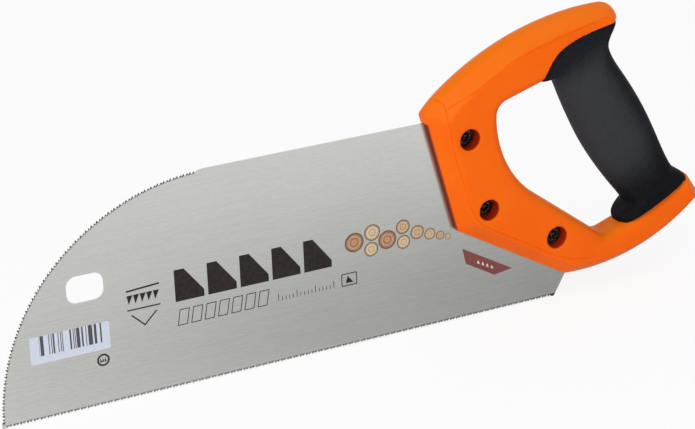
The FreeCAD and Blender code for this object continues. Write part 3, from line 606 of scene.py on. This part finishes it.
# the fine line: places in mm from the nose tip, taken back to the skin of the moulding
FRONT_LINE = (
    (231.9, 121.5), (232.4, 121.4), (232.9, 121.2), (233.3, 121.0), (233.8, 120.8), (234.3, 120.3),
    (234.7, 119.8), (234.8, 118.8), (234.7, 117.5), (234.0, 113.8), (235.3, 107.1), (238.4, 92.0),
    (242.3, 78.1), (246.1, 64.5), (248.2, 59.8), (251.3, 55.4), (255.9, 51.7), (262.0, 48.1),
    (273.7, 41.0), (284.0, 34.6), (294.5, 28.2), (304.7, 23.6), (314.5, 22.0), (320.0, 21.8),
)
TOP_LINE = (
    (234.7, 117.5), (236.1, 118.4), (237.6, 119.3), (239.7, 120.6), (242.9, 122.0), (249.7, 125.6),
    (256.4, 129.5), (263.5, 133.1), (271.6, 137.1), (283.3, 141.0), (297.8, 144.6), (312.4, 147.6),
    (321.8, 149.4), (328.0, 150.3),
)
LINE_RADIUS = 0.34
LINE_STEP = 1.2          # mm between two places of the line
SIGHT_FROM = Vector((0, -30 * MM, 0))       # the skin is looked for from here, in front of the saw
bpy.context.view_layer.update()


def skin_places(places):
    """Where a line, seen from the side, meets the near skin of the body."""
    spots = []
    for (x0, z0), (x1, z1) in zip(places, places[1:]):
        steps = max(1, round(math.hypot(x1 - x0, z1 - z0) / LINE_STEP))
        for step in range(steps):
            share = step / steps
            start = from_tip(x0 + (x1 - x0) * share, z0 + (z1 - z0) * share) + SIGHT_FROM
            hit, spot, *_ = body.ray_cast(start, Vector((0, 1, 0)))
            if hit:
                spots.append(spot)
    return spots


def line_cutter(places, side):
    """A round bar along the skin of the body, on the near side (1) or the far side (-1)."""
    curve = bpy.data.curves.new("line", "CURVE")
    curve.dimensions = "3D"
    curve.bevel_depth = LINE_RADIUS * MM
    curve.bevel_resolution = 1
    curve.use_fill_caps = True
    spots = skin_places(places)
    strand = curve.splines.new("NURBS")
    strand.points.add(len(spots) - 1)
    strand.use_endpoint_u = True
    for point, spot in zip(strand.points, spots):
        point.co = (spot.x, spot.y * side, spot.z, 1)
    bar = bpy.data.objects.new("line", curve)
    scene.collection.objects.link(bar)
    select_only(bar)
    bpy.ops.object.convert(target="MESH")
    return bpy.context.object


front_cutters = [set_back, line_cutter(FRONT_LINE, 1), line_cutter(FRONT_LINE, -1)]
top_cutters = [line_cutter(TOP_LINE, 1), line_cutter(TOP_LINE, -1)]
for cutters in (front_cutters, top_cutters):
    select_only(*cutters)
    bpy.ops.object.join()
    cut_away(body, bpy.context.object)

# where the grip meets it, the body is cut back: under the horn and on top of the heel
ABOVE, BELOW = -1, 1
HORN_CUT = ((316.0, 144.2), 10.0, (27.0, 40.0, 7.0), BELOW)     # start, rise in degrees, size, side
HEEL_CUT = ((370.4, 51.4), 18.5, (16.0, 40.0, 5.0), ABOVE)


def trim_block(start, rise, size, side):
    """A block above or below a rising plane, which starts at a place in mm from the nose tip."""
    turn = math.radians(rise)
    ahead = Vector((math.cos(turn), 0, math.sin(turn)))
    below = Vector((math.sin(turn), 0, -math.cos(turn)))
    middle = from_tip(*start) + ahead * size[0] / 2 * MM + below * side * size[2] / 2 * MM
    return block(middle, turn, size)


for trim in (HORN_CUT, HEEL_CUT):
    cut_away(body, trim_block(*trim))
shade_round(body, 50)

ORANGE_LOW, ORANGE_HIGH = (0.93, 0.130, 0.001), (0.95, 0.148, 0.002)
ORANGE_TOP_LIGHT = (0.83, 0.165, 0.0015)         # painted light: yellower where it faces the sky
ORANGE_RECESS_SHADE = (0.36, 0.020, 0.001)       # painted shade on the walls of the screw recesses
ORANGE_LIP_SHADE = (0.30, 0.045, 0.022)          # painted shade on the end face of the lip, close to the steel
HOLLOW_WALL = (5.8, 6.3)                   # mm from the middle of a recess
HOLLOW_DEPTH = (11.0, 12.3)                # mm from the middle of the saw's thickness
LIP_FACE = ((0.7, 0.9), (1.3, 1.5))        # mm behind the lip's first line: starts and ends
LIP_SIDES = (2.9, 3.15)
LIP_HEIGHTS = ((49.6, 50.0), (109.2, 109.8))

plastic = Finish("orange_plastic", Roughness=0.4, Specular_IOR_Level=0.09)
pebble = plastic.noise(plastic.place(), 2.2, 4, 0.6)
patch = plastic.noise(plastic.place(), 0.03, 3, 0.5)
spot = plastic.place()
sides = plastic.parts(spot)[1].size()
skyward = plastic.parts(plastic.facing())[2]
skin_colour = plastic.blend(patch.rise(0.35, 0.7), ORANGE_LOW, ORANGE_HIGH)
# painted light: the skin turns yellower where it faces up, towards the sky
skin_colour = plastic.blend(skyward.rise(0.25, 0.95), skin_colour, ORANGE_TOP_LIGHT)
side_view = plastic.node("ShaderNodeVectorMath", {"operation": "MULTIPLY"}, spot, (1, 0, 1))
# painted shade: the walls of the screw recesses are darkened to a deep red
for number in (1, 2, 3):
    low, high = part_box(f"handle_screw_{number}")
    away = plastic.distance(side_view, ((low.x + high.x) / 2 / MM, 0, (low.z + high.z) / 2 / MM))
    recess_shade = (1 - away.rise(*HOLLOW_WALL)) * (1 - sides.rise(*HOLLOW_DEPTH))
    skin_colour = plastic.blend(recess_shade, skin_colour, ORANGE_RECESS_SHADE)
# painted shade: the end face of the lip, close to the steel, is darkened to a deep red
lip_spot = plastic.from_nose()
from_lip = plastic.reach(lip_spot, LIP_NORMAL) - LIP_REACH
heights = plastic.parts(lip_spot)[2]
painted_lip_shade = from_lip.rise(*LIP_FACE[0]) * (1 - from_lip.rise(*LIP_FACE[1])) * (1 - sides.rise(*LIP_SIDES))
painted_lip_shade = painted_lip_shade * heights.rise(*LIP_HEIGHTS[0]) * (1 - heights.rise(*LIP_HEIGHTS[1]))
plastic.feed("Base Color", plastic.blend(painted_lip_shade, skin_colour, ORANGE_LIP_SHADE))
plastic.feed("Roughness", 0.34 + pebble * 0.12)
plastic.feed("Normal", plastic.relief(pebble, 0.02, 0.35))
body.data.materials.append(plastic.material)
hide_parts("handle_body")
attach(body, "root")


# ------------------------------------------------------------------ soft grip
# A black soft moulding round the core of the handle, matt, with a fine spark-eroded grain. It is
# an oval that swells in the middle and spreads into a collar where it meets the arm and the heel.
GRIP_CENTRE = (335.2, 89.0)
GRIP_ANGLE = math.radians(60.9)
GRIP_STATIONS = (
    # down the grip, finger side, palm side, half thickness, squareness of the section
    (-62.5, -17.0, 8.0, 7.4, 3.0), (-60.5, -20.5, 16.0, 8.8, 3.3), (-57.0, -23.4, 23.0, 9.9, 4.0),
    (-54.0, -24.3, 26.6, 10.3, 4.3), (-51.0, -24.4, 27.2, 10.4, 4.3), (-49.6, -24.1, 26.6, 10.5, 4.0),
    (-48.4, -22.6, 25.4, 10.5, 3.6), (-47.6, -19.8, 24.2, 10.6, 3.3), (-46.4, -17.4, 22.2, 10.8, 3.0),
    (-44.0, -16.2, 19.1, 11.2, 2.7), (-41.0, -16.2, 17.2, 11.6, 2.5), (-35.0, -17.1, 16.3, 12.3, 2.4),
    (-27.0, -18.1, 16.8, 13.0, 2.35), (-18.0, -18.9, 17.7, 13.5, 2.3), (-8.0, -19.6, 18.2, 13.9, 2.3),
    (2.0, -19.7, 18.2, 13.95, 2.3), (12.0, -19.1, 17.7, 13.7, 2.3), (22.0, -18.1, 16.8, 13.0, 2.35),
    (30.0, -17.0, 16.1, 12.2, 2.4), (36.0, -16.0, 15.9, 11.5, 2.4), (40.0, -15.5, 15.9, 11.0, 2.5),
    (42.6, -15.4, 16.1, 10.9, 2.5), (44.0, -16.6, 16.6, 10.8, 2.6), (44.6, -20.4, 17.0, 10.7, 2.7),
    (45.2, -23.6, 17.2, 10.6, 2.8), (47.0, -24.6, 18.0, 10.6, 3.0), (49.6, -24.6, 19.4, 10.6, 3.2),
    (53.0, -24.2, 20.4, 10.2, 3.2), (57.0, -22.0, 18.6, 9.2, 3.0), (61.0, -17.0, 17.0, 7.4, 2.8),
)
COLLAR_CUT = ((336.0, 32.8), 26.2, (44.0, 40.0, 30.0), BELOW)   # the low end of the grip's collar
RING = 24
down = Vector((math.cos(GRIP_ANGLE), 0, -math.sin(GRIP_ANGLE)))
across = Vector((math.sin(GRIP_ANGLE), 0, math.cos(GRIP_ANGLE)))
grip_middle = from_tip(*GRIP_CENTRE)


def grip_ring(station):
    """Places of one ring of the grip: an oval with fuller corners."""
    place, finger, palm, half, square = station
    places = []
    for step in range(RING):
        turn = 2 * math.pi * step / RING
        c, s = math.cos(turn), math.sin(turn)
        reach = (abs(c) ** square + abs(s) ** square) ** (-1 / square)
        side = (finger + palm) / 2 + (palm - finger) / 2 * c * reach
        outward = Vector((0, half * s * reach * MM, 0))
        places.append(grip_middle + (down * place + across * side) * MM + outward)
    return places


def rounded_off(place):
    """A place as a key: a new ring starts where the last one lies."""
    return tuple(round(part, 7) for part in place)


bpy.ops.object.select_all(action="DESELECT")
bpy.ops.mesh.primitive_circle_add(vertices=RING, radius=MM, fill_type="NGON")
grip = bpy.context.object
grip.name = "black_grip"
bpy.ops.object.mode_set(mode="EDIT")
bpy.ops.mesh.select_all(action="SELECT")
mesh = bmesh.from_edit_mesh(grip.data)
ring = list(mesh.verts)
for station in GRIP_STATIONS:
    if station is not GRIP_STATIONS[0]:
        bpy.ops.mesh.extrude_region()
        mesh = bmesh.from_edit_mesh(grip.data)
        order = {rounded_off(place): index for index, place in enumerate(last_ring)}
        ring = [vertex for vertex in mesh.verts if vertex.select]
        ring.sort(key=lambda vertex: order[rounded_off(vertex.co)])
    for vertex, place in zip(ring, grip_ring(station)):
        vertex.co = place
    last_ring = [tuple(vertex.co) for vertex in ring]
    bmesh.update_edit_mesh(grip.data)
bpy.ops.mesh.select_all(action="SELECT")
bpy.ops.mesh.normals_make_consistent(inside=False)
bpy.ops.object.mode_set(mode="OBJECT")
apply(grip, "SUBSURF", levels=2, render_levels=2)
core = joined_copy("handle_body", "core_cutter")
for trim in (HORN_CUT, HEEL_CUT):
    cut_away(core, trim_block(*trim))
cut_away(grip, core)
cut_away(grip, trim_block(*COLLAR_CUT))
shade_round(grip, 40)

RUBBER_LOW = (0.0018, 0.0020, 0.0030)      # painted shade: in the collars, at the low end and towards the palm
RUBBER_HIGH = (0.043, 0.0455, 0.053)       # painted light: where the light falls most, over the middle and the finger side
rubber = Finish("black_rubber", Roughness=0.5, Specular_IOR_Level=0.05)
skin = rubber.noise(rubber.place(), 1.6, 5, 0.7)
wear = rubber.noise(rubber.place(), 0.16, 5, 0.65)
from_middle = rubber.place(shift=-grip_middle / MM)
down_grip = rubber.reach(from_middle, down)
palmward = rubber.reach(rubber.facing(), across)
# painted light and shade: lighter over the middle and the finger side, darker at the low end, in the
# collars and towards the palm
low_end = down_grip.rise(6.0, 42.0)
collar = 1 - down_grip.rise(-53.0, -36.0)
painted_light_share = (1 - low_end * 0.8) * (1 - collar * 0.65) * (1 - palmward.rise(-0.1, 0.8) * 0.85)
shade = painted_light_share * 0.62 + wear * 0.2 + skin.rise(0.3, 0.7) * 0.2
rubber.feed("Base Color", rubber.blend(shade.rise(0.15, 1.0), RUBBER_LOW, RUBBER_HIGH))
rubber.feed("Roughness", 0.5 + skin * 0.2)
rubber.feed("Normal", rubber.relief(skin, 0.05, 0.5))
grip.data.materials.clear()
grip.data.materials.append(rubber.material)
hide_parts("soft_grip")
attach(grip, "root")


# ------------------------------------------------------------------ screws and sleeve nuts
# Three blackened steel screws at the bottom of their recesses, and the sleeve nuts that they go
# into from the other side. Small bright specks on the blacking are painted glints.
BLUED_LOW, BLUED_HIGH = (0.018, 0.016, 0.016), (0.075, 0.07, 0.068)
GLINT_STEEL = (0.50, 0.48, 0.49)

blued_steel = Finish("blackened_steel", Metallic=1.0, Roughness=0.3)
scuff = blued_steel.noise(blued_steel.place(), 3.0, 4, 0.6)
# painted highlight: small specks of bright steel colour stand in for glints
glint_speck = blued_steel.noise(blued_steel.place(), 1.3, 2, 0.5).rise(0.60, 0.68)
blued = blued_steel.blend(scuff.rise(0.35, 0.75), BLUED_LOW, BLUED_HIGH)
blued_steel.feed("Base Color", blued_steel.blend(glint_speck * 0.8, blued, GLINT_STEEL))
blued_steel.feed("Roughness", 0.22 + scuff * 0.2)
for number in (1, 2, 3):
    for kind, short_name in (("handle_screw", "screw"), ("sleeve_nut", "nut")):
        node = f"{kind}_{number}"
        fastener = joined_copy(node, f"{short_name}_{number}")
        shade_round(fastener, 28)
        fastener.data.materials.append(blued_steel.material)
        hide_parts(node)
        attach(fastener, "root")
